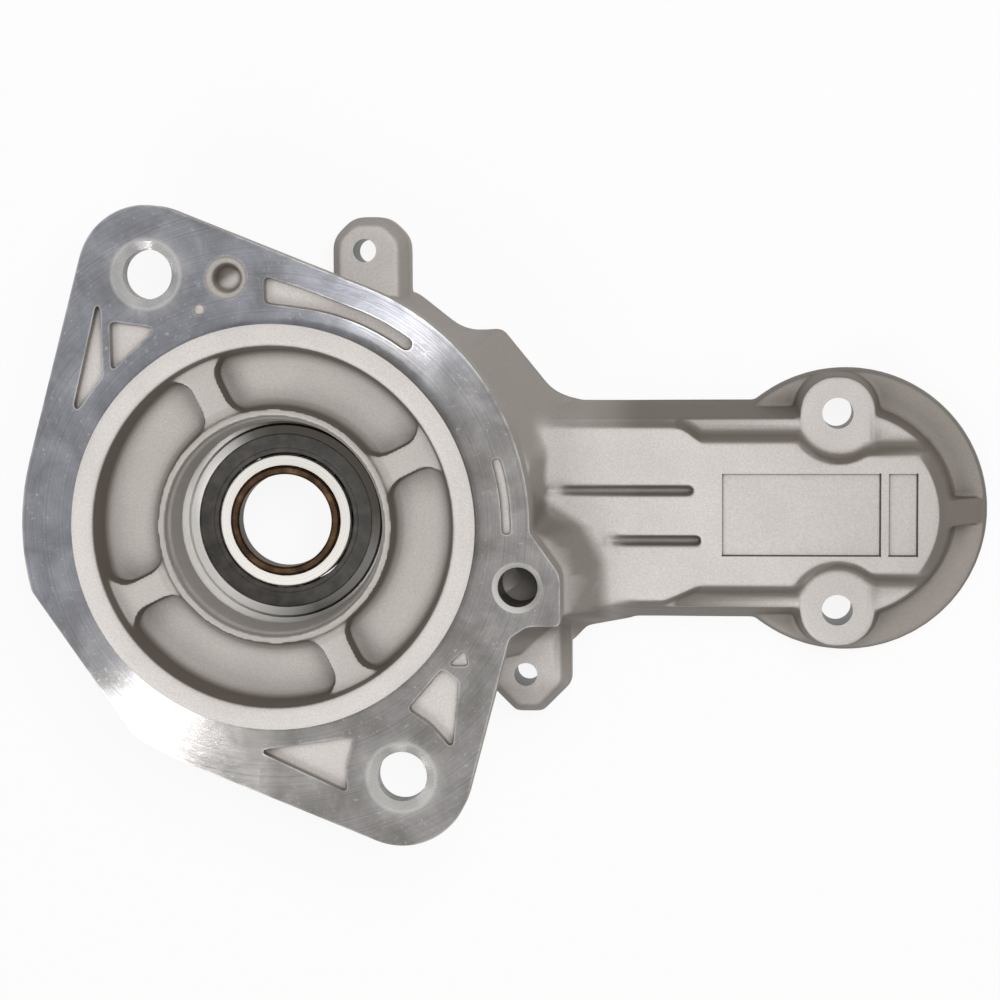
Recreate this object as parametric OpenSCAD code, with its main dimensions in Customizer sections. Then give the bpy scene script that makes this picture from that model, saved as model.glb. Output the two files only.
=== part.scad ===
// Pinion-side end cover of an offset-gear starter motor.
// One aluminium casting with a sealed ball bearing and a bronze pinion bush.
// The origin is on the pinion axis, in the machined engine-side flange face.
// +Z points to the engine, +X runs out along the lever arm to the solenoid seat.

/* [Casting] */
// Height from the machined flange face down to the back rim
body_depth = 36; // [34:1:42]
// Thickness of the mounting flange
flange_t = 9; // [8:0.5:11]
// Radius of the flange about the pinion axis
flange_r = 53.7; // [53:0.1:56]
// Distance of the flat on the flange edge from the pinion axis
flange_flat = 50.4; // [49.5:0.1:52]
// Direction of that flat
flange_flat_angle = 215; // [210:1:220]
// Depth of the cast pockets in the flange face
pocket_depth = 2.6; // [1.5:0.1:3.5]
// Radius of the drum under the flange
drum_r = 46; // [45.5:0.1:47]
// Wall between the drum and the gear cavity
drum_wall = 5.5; // [4:0.1:6]
// Metal left above the gear cavity, from the flange face
roof_depth = 13; // [12.5:0.1:14]

/* [Pilot and web] */
// Outer radius of the pilot ring
pilot_r = 42.5; // [42:0.1:43]
// Inner radius of the pilot ring
pilot_inner_r = 37.8; // [37:0.1:38.5]
// Height of the pilot ring above the flange face
pilot_h = 3; // [2:0.1:4]
// Depth of the kidney pocket floors below the flange face
web_depth = 7; // [6:0.1:8]
// Depth of the spoke faces below the flange face
spoke_depth = 1.2; // [0.5:0.1:2.5]
// Half width of a spoke
spoke_half = 2.9; // [2:0.1:4]
// Radius of the kidney pocket corners
spoke_fillet = 4.6; // [3:0.1:5]
// Number of spokes
spoke_count = 4; // [3:1:6]
// Direction of the first spoke
spoke_angle = 26.5; // [0:0.5:89]
// Radius of the fillet round each pocket floor
floor_fillet = 4; // [2:0.1:4.4]

/* [Bearing seat] */
// Width of the boss rim round its mouth
boss_rim = 2; // [1.5:0.1:2.8]
// Depth of the boss rim below the flange face
rim_depth = 2.5; // [1.5:0.1:4]
// Extra radius of the boss mouth over the bearing
mouth_flare = 1.8; // [1:0.1:2.2]
// Wall round the bearing seat
seat_wall = 4.4; // [3.5:0.1:5]
// Depth of the bearing face below the flange face
bearing_depth = 16; // [15:0.1:17]
// Radial width of the shoulder behind the bearing
shoulder_w = 2.8; // [2.2:0.1:3.4]
// Shoulder behind the bearing, thickness
shoulder_t = 3; // [2:0.1:4]

/* [Bearing] */
// Outer radius of the bearing
bearing_r = 21; // [20.5:0.1:21]
// Width of the bearing
bearing_w = 12; // [12:0.1:13]
// Inner radius of the inner ring
inner_ring_r = 11.65; // [11.5:0.05:11.8]
// Share of the room between both rings' far walls that a ball fills
ball_share = 0.62; // [0.58:0.01:0.63]
// Share of the ball radius that lies in each ring's groove
groove_share = 0.3; // [0.26:0.01:0.34]
// Number of balls
ball_count = 10; // [9:1:10]
// Depth of the step that a seal sits in
seal_step = 1.6; // [1.4:0.1:1.8]
// Thickness of a seal
seal_t = 1.2; // [1:0.1:1.3]
// Radial width of the groove step that holds a seal
seal_grip = 0.4; // [0.3:0.05:0.6]
// Thickness of the cage strip
cage_t = 0.8; // [0.6:0.05:0.9]
// Half width of the cage strip
cage_half = 1.25; // [1:0.05:1.4]
// Radius of a cage rivet
rivet_r = 0.45; // [0.4:0.05:0.5]

/* [Pinion bush] */
// Bore radius of the bush
bush_bore_r = 10; // [9:0.1:10.5]
// Length that the bush stands out of the bearing on the engine side
bush_proud = 0.8; // [0:0.1:2]
// Length of the bush
bush_l = 6; // [5:0.1:12]

/* [Mounting holes] */
// Distance of the engine bolt holes from the pinion axis
bolt_distance = 59.17; // [58:0.1:60]
// Direction of the first engine bolt hole
bolt_angle = 116.6; // [114:0.1:119]
// Radius of an engine bolt hole
bolt_hole_r = 5.25; // [4.5:0.05:5.5]
// Radius of the lobe round an engine bolt hole
bolt_lobe_r = 14.5; // [14:0.1:15]
// Radius of the lead-in at an engine bolt hole
bolt_lead_r = 7; // [6:0.1:7.5]
// Depth of that lead-in
bolt_lead_depth = 1.3; // [0.5:0.1:2]
// Radius of the spot face behind an engine bolt hole
spot_r = 10.5; // [10:0.1:11]
// Depth of that spot face
spot_depth = 2.5; // [1:0.1:3]
// Dowel hole place along X
dowel_x = 51.1; // [50.5:0.1:51.5]
// Dowel hole place along Y
dowel_y = -12.7; // [-13.5:0.1:-12]
// Dowel hole radius
dowel_r = 4.2; // [3.5:0.05:4.3]
// Dowel hole depth
dowel_depth = 14; // [10:0.5:15]
// Width of the chamfer at the dowel hole
dowel_chamfer = 1.1; // [0.5:0.1:1.3]

/* [Motor ears] */
// Gear axis place along X, midway between the ears
gear_x = 34; // [33.5:0.1:34.5]
// Gear axis place along Y
gear_y = 11.95; // [11.5:0.05:12.5]
// Distance of each ear hole from the gear axis
ear_distance = 48.97; // [48.5:0.1:49.5]
// Direction of the first ear from the gear axis
ear_angle = 110.56; // [110:0.1:111]
// Radius of an ear hole
ear_hole_r = 2.5; // [2:0.05:3]
// Draft of the ear walls, from the back to the face
ear_draft = 2; // [1.5:0.1:2.5]
// Depth of the ear faces below the flange face
ear_depth = 22; // [20:0.5:24]
// Radius of the gear cavity about the gear axis
gear_cavity_r = 19; // [17:0.1:19.5]

/* [Lever arm] */
// Middle of the arm along Y
arm_y = 1.2; // [1:0.1:1.4]
// Half width of the arm at the back rim
arm_half = 24; // [23.5:0.1:24.5]
// Half width of the arm at its ledge
ledge_half = 20.2; // [19.6:0.1:20.8]
// Depth of the ledge below the flange face
ledge_depth = 21.5; // [21:0.1:22]
// Rounding of the ledge's outer edge
ledge_round = 0.8; // [0.3:0.1:1.5]
// Depth of the arm face below the flange face
face_depth = 18; // [17:0.1:18.5]
// Half width of the wide stretch of the arm face
face_half = 18.45; // [18:0.05:18.8]
// Half width of the narrow stretch of the arm face
neck_half = 15.1; // [14.5:0.1:15.5]
// Where the arm face narrows, along X
neck_x = 86; // [84:0.5:90]
// How much sooner it narrows on the lower side
neck_skew = 3; // [0:0.5:5]
// Half width of the arm face beyond the solenoid lugs
tail_half = 12.4; // [12:0.1:13]
// Width of the sloping edge of the arm face
face_slope = 2.7; // [2:0.1:3]
// Wall of the arm beside the lever channel, at its ledge
arm_wall = 3.4; // [2.5:0.1:4]
// Metal above the lever channel
channel_roof = 4; // [3:0.1:4.5]
// Metal between the lever channel and the pads of the solenoid screws
channel_stop = 2.5; // [1:0.1:4]
// Depth of the blank panels in the arm face
panel_depth = 0.5; // [0.3:0.1:0.8]
// Half width of the blank panels
panel_half = 8.75; // [7:0.05:9.5]
// Where the large blank panel starts, along X
panel_x = 93.6; // [92:0.1:95]
// Length of the large blank panel
panel_l = 33.6; // [28:0.1:34]
// Length of the small blank panel
panel_end_l = 6.1; // [5:0.1:6.5]
// Land between both blank panels
panel_gap = 1.7; // [1:0.1:2.5]
// Width of the grooves in the arm face
groove_w = 2.4; // [1.8:0.1:3]
// Width of those grooves at their floor
groove_floor = 0.9; // [0.5:0.1:1.2]
// Depth of the grooves in the arm face
groove_depth = 2; // [1:0.1:2.5]

/* [Solenoid seat] */
// Solenoid axis along X
seat_x = 120.2; // [119.5:0.1:122]
// Radius of the seat's outer rim
seat_r = 31; // [30.5:0.1:32]
// Thickness of the seat's flange
seat_t = 5; // [4:0.1:6]
// Radius of the raised face at the end of the arm
end_r = 19.4; // [19:0.1:19.8]
// Radius of the wall under that face, at ledge level
end_wall_r = 21.7; // [21.4:0.1:22]
// Radius of the foot of that wall
end_foot_r = 23.4; // [23:0.1:24]
// Solenoid screw holes, place along X
lug_x = 118.2; // [117.5:0.1:119]
// Middle of the two solenoid screw holes along Y
lug_mid_y = 1.6; // [1.4:0.1:1.8]
// Half of the distance between the solenoid screw holes
lug_half = 21.1; // [20.9:0.1:21.3]
// Radius of a solenoid screw hole
lug_hole_r = 3.3; // [2.7:0.05:3.4]
// Radius of the pad round a solenoid screw hole
lug_r = 7.7; // [7.2:0.1:8]
// Height of the pads above the ledge
lug_rise = 0.7; // [0.3:0.1:1]
// Draft at the foot of a solenoid screw column
lug_draft = 1.6; // [1:0.1:2]
// Gap between a pad and the arm face at the pad's level
lug_gap = 0.4; // [0.2:0.1:0.8]
// Width of the slope that rises from that gap to the arm face
lug_valley = 3.5; // [3:0.1:4]
// Half width of the rib at the end of the arm
rib_half = 2.9; // [2:0.1:4]
// Radius of the recess that locates the solenoid
locating_r = 26.5; // [26:0.1:27]
// Depth of that recess
locating_depth = 2.5; // [1:0.1:3]
// Radius of the plunger room
plunger_r = 13; // [12:0.1:13.5]

/* [Fits] */
// Radial gap of a press fit
press_gap = 0.01; // [0:0.005:0.02]
// Radial gap of a running fit, ball to race
run_gap = 0.05; // [0.02:0.01:0.08]
// Gap between a seal lip and the inner ring
lip_gap = 0.3; // [0.2:0.05:0.4]
// Gap between a ball and its cage pocket
pocket_gap = 0.1; // [0.05:0.01:0.15]

/* [Hidden] */
$fn = 96;
// Reach of a cut past the surface that it starts from
over = 1;
// Overlap of joined bodies of the casting
weld = 0.5;
// Height and width of the broken upper edges
edge_break = 0.3;
back_z = -body_depth;
bearing_z = -bearing_depth;
bearing_back_z = bearing_z - bearing_w;
ball_z = bearing_z - bearing_w / 2;
seat_bore_r = bearing_r + press_gap;
boss_back_r = seat_bore_r + seat_wall;
mouth_r = bearing_r + mouth_flare;
boss_r = mouth_r + boss_rim;
shoulder_r = bearing_r - shoulder_w;
pitch_r = (inner_ring_r + bearing_r) / 2;
ball_r = ball_share * (bearing_r - inner_ring_r) / 2;
inner_land_r = pitch_r - (1 - groove_share) * ball_r;
outer_land_r = pitch_r + (1 - groove_share) * ball_r;
race_r = ball_r + run_gap;
seal_seat_r = outer_land_r + seal_grip;
boss_back_z = bearing_back_z - shoulder_t;
cavity_r = drum_r - drum_wall;
ledge_z = -ledge_depth;
face_z = -face_depth;
pad_z = ledge_z + lug_rise;
channel_top_z = face_z - channel_roof;
ear_z = -ear_depth;
seat_flange_z = back_z + seat_t;
// Grooves of the arm face: start along X, middle along Y, length
face_grooves = [[55.2, 6.3, 32.2], [67.5, -4.4, 21.6]];
// Ears: sides of the hole towards the arm and away from it, tip, cut corners and their rounding
upper_ear = [9.2, 7.5, 7.3, 4.6, 5.5];
lower_ear = [8.6, 9.6, 8.7, 6.2, 1.6];
cast_silver = [0.76, 0.75, 0.73];
steel = [0.82, 0.82, 0.83];

// Point at radius r and direction a from a centre
function polar(c, r, a) = [c[0] + r * cos(a), c[1] + r * sin(a)];

// Arc about c from direction a0 to a1 in n steps
function arc(c, r, a0, a1, n = 12) = [for (i = [0:n]) polar(c, r, a0 + (a1 - a0) * i / n)];

// Corner b between a and c, rounded at radius r in n steps
function corner(a, b, c, r, n) =
  let(u = (a - b) / norm(a - b), v = (c - b) / norm(c - b),
      half = acos(u * v) / 2,
      mid = (u + v) / norm(u + v),
      centre = b + mid * r / sin(half),
      p = b + u * r / tan(half), q = b + v * r / tan(half),
      a0 = atan2(p[1] - centre[1], p[0] - centre[0]),
      turn = atan2(q[1] - centre[1], q[0] - centre[0]) - a0,
      sweep = turn > 180 ? turn - 360 : (turn < -180 ? turn + 360 : turn))
  r > 0 ? arc(centre, r, a0, a0 + sweep, n) : [b];

// Outline through corners [x, y, rounding], n steps in each rounding
function rounded(pts, n = 6) =
  let(m = len(pts))
  [for (i = [0:m - 1])
    let(a = pts[(i + m - 1) % m], b = pts[i], c = pts[(i + 1) % m])
    each corner([a[0], a[1]], [b[0], b[1]], [c[0], c[1]], b[2], n)];

// Ring of points at height z
function lift(pts, z) = [for (p = pts) [p[0], p[1], z]];

// Solid through outlines of equal length, listed upwards, seen whole from centre
module skin(outlines, heights, centre) {
  m = len(outlines[0]);
  k = len(outlines);
  points = concat(
    [for (i = [0:k - 1]) each lift(outlines[i], heights[i])],
    [[centre[0], centre[1], heights[0]], [centre[0], centre[1], heights[k - 1]]]);
  sides = [for (i = [0:k - 2], j = [0:m - 1])
    let(a = i * m + j, b = i * m + (j + 1) % m)
    each [[a, a + m, b], [b, a + m, b + m]]];
  bottom = [for (j = [0:m - 1]) [k * m, j, (j + 1) % m]];
  top = [for (j = [0:m - 1]) [k * m + 1, (k - 1) * m + (j + 1) % m, (k - 1) * m + j]];
  polyhedron(points = points, faces = concat(sides, bottom, top));
}

// Skin with a slightly smaller crown on top, which breaks its upper edge
module crowned(outlines, heights, centre, crown) {
  skin(outlines, heights, centre);
  top_z = heights[len(heights) - 1];
  translate([0, 0, top_z - 1]) linear_extrude(1 + edge_break) polygon(crown);
}

// Bar along X from a profile in Y and Z
module bar(profile, x0, x1) {
  translate([x0, 0, 0]) rotate([90, 0, 90]) linear_extrude(x1 - x0) polygon(profile);
}

bolt_place = polar([0, 0], bolt_distance, bolt_angle);
gear_axis = [gear_x, gear_y];
ear_places = [polar(gear_axis, ear_distance, ear_angle), polar(gear_axis, ear_distance, ear_angle + 180)];
lug_places = [[lug_x, lug_mid_y + lug_half], [lug_x, lug_mid_y - lug_half]];
seat_axis = [seat_x, arm_y];

// Mounting flange: tangent hull of the round middle and both bolt lobes, less one flat
module flange_plate() {
  translate([0, 0, -flange_t]) linear_extrude(flange_t) difference() {
    hull() {
      circle(flange_r, $fn = 120);
      for (s = [-1, 1]) translate(s * bolt_place) circle(bolt_lobe_r, $fn = 72);
    }
    rotate(flange_flat_angle) translate([flange_flat, -flange_r]) square([flange_r, 2 * flange_r]);
  }
}

// Lobe of the flange round the dowel hole
module dowel_lobe() {
  translate([0, 0, -flange_t]) linear_extrude(flange_t) polygon(rounded([
    [dowel_x - 16, dowel_y + 18, 0], [dowel_x - 2, dowel_y + 18, 3], [dowel_x + 8.9, dowel_y + 2.7, 5],
    [dowel_x + 8.9, dowel_y - 8.1, 0.8], [dowel_x + 2, dowel_y - 8.1, 4], [dowel_x - 10, dowel_y - 16.2, 2]]));
}

// Drum under the flange, wider towards the back where it meets the arm
module drum() {
  big = drum_r - 0.5;
  back = rounded([
    [-drum_r, drum_r, big], [-drum_r, -drum_r, big], [26, -drum_r, 24], [47, -31, 4], [60.6, -28.6, 3],
    [64.2, -25, 2], [76, arm_y - arm_half, 0.5], [61.5, -16, 2], [61.5, 19, 4],
    [64.5, arm_y + arm_half - 0.3, 2], [57, 27, 9], [45.5, 41.2, 3], [38, 40, 10],
    [26, 49.5, 6], [13, drum_r + 1.5, 6]], 8);
  front = rounded([
    [-drum_r, drum_r, big], [-drum_r, -drum_r, big], [24, -drum_r, 24], [42, -30, 4], [49, -23, 3],
    [53, -20, 1], [53.6, -17, 0.5], [53.2, -13, 2], [53, 9, 4],
    [53.1, 12, 2], [49, 22.5, 9], [39.5, 34.5, 3], [33, 38.5, 8],
    [22, 46.8, 6], [12, drum_r + 1, 6]], 8);
  skin([back, front], [back_z, -flange_t + weld], [8, 3]);
}

// Rounded buttress that carries the dowel hole down to the arm
module dowel_buttress() {
  low_y = arm_y - ledge_half - 0.2;
  foot = rounded([[40, low_y, 0], [74.5, low_y, 3], [73.8, -8.6, 6], [68.4, 0, 6], [40, 8, 0]]);
  head = rounded([[40, -20, 0], [59, -20, 1.5], [59, -10, 3], [54, -3, 5], [40, -3, 0]]);
  skin([foot, head], [ledge_z, -flange_t + weld], [48, -12]);
}

// Ear for a motor through bolt, with its flanks run back into the drum; dir is 1 for the upper ear
module ear(place, dir, root, form) {
  // Outline of the ear, drawn in by each amount
  outline = [for (g = [0, ear_draft, ear_draft + edge_break])
    let(near = place[0] + dir * (form[0] - g), far = place[0] - dir * (form[1] - g),
        tip = place[1] + dir * (form[2] - g), cut = dir * (form[3] - (2 - sqrt(2)) * g),
        soft = max(form[4] - g, edge_break))
    rounded([[near, root, 0], [near, tip - cut, soft], [near - cut, tip, soft],
             [far + cut, tip, soft], [far, tip - cut, soft], [far, root, 0]], 4)];
  low = back_z + 2;
  crowned([outline[0], outline[0], outline[1]], [low, ear_z - 5, ear_z - edge_break],
    [place[0], (place[1] + root) / 2], outline[2]);
}

// Lower body of the arm: drafted walls up to the ledge
module arm_body() {
  profile = rounded([
    [arm_y - arm_half, back_z, 0], [arm_y + arm_half, back_z, 0],
    [arm_y + ledge_half, ledge_z, ledge_round], [arm_y - ledge_half, ledge_z, ledge_round]]);
  bar(profile, gear_x, seat_x);
}

// Seat flange and end wall about the solenoid axis, as a turned form
module seat_body() {
  translate([seat_x, arm_y, 0]) rotate_extrude()
    polygon(rounded([
      [0, back_z, 0], [seat_r, back_z, 0], [seat_r - 0.8, seat_flange_z, 1.2],
      [end_foot_r, seat_flange_z, 2.4], [end_wall_r, ledge_z, 0.8], [0, ledge_z, 0]]));
}

// Columns and pads of the two solenoid screws
module lugs() {
  for (place = lug_places) {
    side = sign(place[1] - arm_y);
    root = arm_y + side * lug_r / 2;
    // Outline of a pad grown by g at its free sides
    pad = [for (g = [lug_draft, edge_break, 0])
      let(x0 = place[0] - lug_r - g, x1 = place[0] + lug_r + g, tip = place[1] + side * (lug_r + g / 2))
      rounded(side > 0
        ? [[x0, root, 0], [x1, root, 0], [x1, tip, lug_r], [x0, tip, lug_r]]
        : [[x0, tip, lug_r], [x1, tip, lug_r], [x1, root, 0], [x0, root, 0]], 12)];
    crowned([pad[0], pad[1]], [seat_flange_z - weld, pad_z - edge_break], [place[0], place[1] - side * 6], pad[2]);
  }
}

// Cross-section of a raised bar on the ledge, with sloping sides
function raised(top_half, foot_half) = rounded([
  [arm_y - foot_half, ledge_z - weld, 0], [arm_y + foot_half, ledge_z - weld, 0],
  [arm_y + top_half, face_z, edge_break], [arm_y - top_half, face_z, edge_break]], 3);

// Raised face of the arm, cut back round both pads, with its sloping edge
module arm_face() {
  rise = face_z - ledge_z;
  difference() {
    union() {
      wide_end = neck_x - neck_skew - 2.5;
      bar(raised(face_half, ledge_half), gear_x, wide_end + weld);
      // Shoulders that turn the wide stretch into the narrow one
      for (s = [-1, 1]) hull()
        for (e = [[wide_end, face_half], [s > 0 ? neck_x - 2.5 : wide_end, face_half], [neck_x + 2, neck_half]])
          translate([e[0], arm_y + s * (e[1] - 4), ledge_z - weld])
            cylinder(h = rise + weld, r1 = 5.6, r2 = 4, $fn = 32);
      bar(raised(neck_half, neck_half + face_slope), gear_x, lug_x);
      intersection() {
        bar(raised(tail_half, tail_half + face_slope), lug_x - 1, seat_x + seat_r);
        translate([seat_x, arm_y, ledge_z - weld]) cylinder(h = rise + weld, r1 = end_wall_r, r2 = end_r);
      }
    }
    for (place = lug_places) translate([place[0], place[1], ledge_z - 2 * weld])
      cylinder(h = rise + 2 * weld + over, r1 = lug_r + lug_gap, r2 = lug_r + lug_gap + lug_valley);
  }
}

// Rib from the end of the arm face down to the seat flange
module end_rib() {
  profile = [[seat_x, back_z + weld], [seat_x + seat_r - 2, back_z + weld], [seat_x + seat_r - 2, seat_flange_z + 0.6],
             [seat_x + end_r, face_z - 0.6], [seat_x, face_z - 0.6]];
  translate([0, arm_y + rib_half, 0]) rotate([90, 0, 0]) linear_extrude(2 * rib_half) polygon(profile);
}

// Pilot ring with a machined edge and a softly rounded cast inner edge
module pilot_ring() {
  rotate_extrude() polygon(rounded([
    [pilot_inner_r - weld, -flange_t, 0], [pilot_r, -flange_t, 0], [pilot_r, pilot_h, 0.5],
    [pilot_inner_r, pilot_h, 0.9], [pilot_inner_r - weld, -web_depth, 0]]));
}

// Spoke with flared ends that round the corners of the kidney pockets
module spoke() {
  f = spoke_fillet;
  cy = spoke_half + f;
  inner_c = sqrt(pow(boss_r + f, 2) - cy * cy);
  outer_c = sqrt(pow(pilot_inner_r - f, 2) - cy * cy);
  inner_a = atan2(cy, inner_c);
  outer_a = atan2(cy, outer_c);
  edge = concat(
    [polar([0, 0], boss_r - 1, inner_a)],
    arc([inner_c, cy], f, inner_a - 180, -90, 8),
    arc([outer_c, cy], f, -90, outer_a, 8),
    [polar([0, 0], pilot_inner_r + 1, outer_a)]);
  translate([0, 0, -web_depth - weld]) linear_extrude(web_depth + weld - spoke_depth)
    polygon(concat(edge, [for (i = [len(edge) - 1:-1:0]) [edge[i][0], -edge[i][1]]]));
}

// Turned groove that leaves the kidney pockets between the spokes
module kidney_groove() {
  rotate_extrude() polygon(rounded([
    [boss_r + 1.2, -web_depth, floor_fillet], [pilot_inner_r - 0.9, -web_depth, floor_fillet],
    [pilot_inner_r, pilot_h - 1, 0], [pilot_inner_r, pilot_h + over, 0], [boss_r, pilot_h + over, 0],
    [boss_r, -rim_depth - 0.5, 0]], 8));
}

// Boss that holds the bearing, from its rim to the shoulder behind
module bearing_boss() {
  rotate_extrude() polygon(rounded([
    [mouth_r - 3, boss_back_z, 0], [boss_back_r, boss_back_z, 1.5], [boss_r + 0.9, -web_depth, 0],
    [boss_r, -rim_depth, 0.8], [mouth_r - 3, -rim_depth, 0]]));
}

// Room for the bearing: tapered mouth, seat and the hole through the shoulder
module bearing_room() {
  rotate_extrude() polygon([
    [0, boss_back_z - over], [shoulder_r, boss_back_z - over], [shoulder_r, bearing_back_z],
    [seat_bore_r, bearing_back_z], [seat_bore_r, bearing_z + 0.6], [seat_bore_r + 0.3, bearing_z + 0.6],
    [mouth_r - 0.3, -rim_depth - 0.6], [mouth_r + 0.4, -rim_depth + 0.1], [mouth_r + 0.4, pilot_h + over],
    [0, pilot_h + over]]);
}

// Cast pocket in the flange face from corners with roundings
module face_pocket(corners, depth = pocket_depth) {
  translate([0, 0, -depth]) linear_extrude(depth + over) polygon(rounded(corners, 4));
}

// Curved slot in the flange face between two radii
module face_slot(a0, a1, r0, r1, depth) {
  translate([0, 0, -depth]) linear_extrude(depth + over)
    polygon(concat(arc([0, 0], r1, a0, a1), arc([0, 0], r0, a1, a0)));
}

// Slot above the pilot ring that widens towards the first bolt lobe
module top_slot() {
  inner_r = 46.1;
  outer_r = 48.9;
  start = 53.5;
  tip = polar([0, 0], (inner_r + outer_r) / 2, start);
  translate([0, 0, -pocket_depth]) linear_extrude(pocket_depth + over) union() {
    polygon(concat(arc([0, 0], outer_r, start, 71, 6), [[6.8, 49.8], [-1, 52.3], [-1.7, 51.7], [-1.6, 47.2], [-1, 46.6]],
      arc([0, 0], inner_r, 84, start, 8)));
    translate(tip) circle((outer_r - inner_r) / 2, $fn = 24);
  }
}

// All cast pockets, slots and dimples of the flange face
module flange_relief() {
  // Pocket beside the first bolt lobe, left of its rib
  face_pocket([[-37.2, 46.6, 0.2], [-36.2, 46.6, 0.2], [-35.9, 31.6, 0.4], [-41.4, 24.4, 0.6], [-42.4, 25, 0.6]]);
  // The same pocket right of the rib
  face_pocket([[-34.4, 43.2, 0.4], [-34.2, 32.4, 0.4], [-24.8, 41.2, 0.5], [-25.4, 41.9, 0.4]]);
  // Two pockets beside the second bolt lobe
  face_pocket([[35.2, -29.7, 0.8], [27.8, -38.4, 0.5], [32.8, -41.8, 3], [36.8, -46.4, 0.3], [37.5, -46, 0.3],
               [38.9, -32.4, 0.8]]);
  face_pocket([[-3.2, -47.2, 0.3], [-3, -48, 0.3], [15, -56.3, 0.4], [14.9, -50.4, 3], [16.8, -44.2, 0.4]]);
  // Slots that follow the pilot ring
  top_slot();
  face_slot(-2, 17.2, 47.8, 49.9, 1.2);
  face_pocket([[40.2, -25.4, 0.3], [36, -29.3, 0.3], [41, -29.3, 0.3]], 1.2);
  // Cup and small dimple near the first bolt lobe
  translate([-9.6, 52.1, 0]) rotate_extrude() polygon(rounded([
    [0, -5, 0], [2.4, -5, 1.2], [3.1, -1.4, 0.6], [5.3, 0, 0], [5.3, over, 0], [0, over, 0]], 4));
  translate([-15.3, 45.5, -0.8]) cylinder(h = 0.8 + over, r = 1.4);
}

// Bolt hole with lead-in and spot face behind
module bolt_hole() {
  translate([0, 0, -flange_t - over]) cylinder(h = flange_t + 2 * over, r = bolt_hole_r);
  translate([0, 0, -bolt_lead_depth]) cylinder(h = bolt_lead_depth + weld,
    r1 = bolt_hole_r, r2 = bolt_hole_r + (bolt_lead_r - bolt_hole_r) * (1 + weld / bolt_lead_depth));
  translate([0, 0, -flange_t - over]) cylinder(h = spot_depth + over, r = spot_r);
}

// Blind dowel hole with a chamfer and a drill point
module dowel_hole() {
  translate([dowel_x, dowel_y, -dowel_depth]) cylinder(h = dowel_depth + over, r = dowel_r);
  translate([dowel_x, dowel_y, -dowel_depth - 1.2]) cylinder(h = 1.2, r1 = 0.5, r2 = dowel_r);
  translate([dowel_x, dowel_y, -dowel_chamfer]) cylinder(h = dowel_chamfer + weld, r1 = dowel_r, r2 = dowel_r + dowel_chamfer + weld);
}

// Hollow back: gear cavity, lever channel and plunger room
module hollow() {
  difference() {
    translate([0, 0, back_z - over]) cylinder(h = body_depth - roof_depth + over, r = cavity_r);
    translate([0, 0, boss_back_z]) cylinder(h = body_depth, r = boss_back_r);
  }
  translate([gear_x, gear_y, back_z - over]) cylinder(h = channel_top_z - back_z + over, r = gear_cavity_r);
  channel_half = ledge_half - arm_wall;
  channel_end = lug_x - lug_r - channel_stop;
  difference() {
    translate([gear_x, arm_y - channel_half, back_z - over])
      cube([channel_end - gear_x, 2 * channel_half, channel_top_z - back_z + over]);
    cylinder(h = 3 * body_depth, r = boss_back_r, center = true);
  }
  translate([channel_end - over, arm_y - plunger_r, back_z - over])
    cube([seat_x - channel_end + over, 2 * plunger_r, channel_top_z - back_z + over]);
  translate([seat_x, arm_y, back_z - over]) cylinder(h = channel_top_z - back_z + over, r = plunger_r);
  translate([seat_x, arm_y, back_z - over]) cylinder(h = locating_depth + over, r = locating_r);
}

// Grooves and blank panels in the arm face
module arm_relief() {
  for (g = face_grooves)
    bar([[g[1] - groove_floor / 2, face_z - groove_depth], [g[1] + groove_floor / 2, face_z - groove_depth],
         [g[1] + groove_w / 2, face_z], [g[1] + groove_w / 2, face_z + over],
         [g[1] - groove_w / 2, face_z + over], [g[1] - groove_w / 2, face_z]], g[0], g[0] + g[2]);
  for (p = [[panel_x, panel_l], [panel_x + panel_l + panel_gap, panel_end_l]])
    translate([p[0], arm_y - panel_half, face_z - panel_depth]) cube([p[1], 2 * panel_half, panel_depth + over]);
}

// Through holes of the ears and the solenoid lugs
module small_holes() {
  for (p = ear_places) translate([p[0], p[1], back_z - over]) cylinder(h = body_depth, r = ear_hole_r);
  for (p = lug_places) translate([p[0], p[1], back_z - over]) cylinder(h = body_depth, r = lug_hole_r);
}

module housing() {
  color(cast_silver) {
    difference() {
      union() {
        flange_plate();
        dowel_lobe();
        drum();
        dowel_buttress();
        ear(ear_places[0], 1, 40, upper_ear);
        ear(ear_places[1], -1, -20, lower_ear);
        arm_body();
        seat_body();
        lugs();
        arm_face();
        end_rib();
        pilot_ring();
      }
      kidney_groove();
      hollow();
      bearing_room();
      flange_relief();
      for (s = [-1, 1]) translate(s * bolt_place) bolt_hole();
      dowel_hole();
      arm_relief();
      small_holes();
    }
    difference() {
      bearing_boss();
      bearing_room();
    }
    for (i = [0:spoke_count - 1]) rotate(spoke_angle + 360 * i / spoke_count) spoke();
  }
}

module bearing_outer_ring() {
  color(steel) translate([0, 0, ball_z]) rotate_extrude() difference() {
    half = bearing_w / 2;
    step = half - seal_step;
    polygon([
      [outer_land_r, -step], [seal_seat_r, -step], [seal_seat_r, -half], [bearing_r - 0.5, -half],
      [bearing_r, -half + 0.5], [bearing_r, half - 0.5], [bearing_r - 0.5, half], [seal_seat_r, half],
      [seal_seat_r, step], [outer_land_r, step]]);
    translate([pitch_r, 0]) circle(race_r);
  }
}

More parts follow.
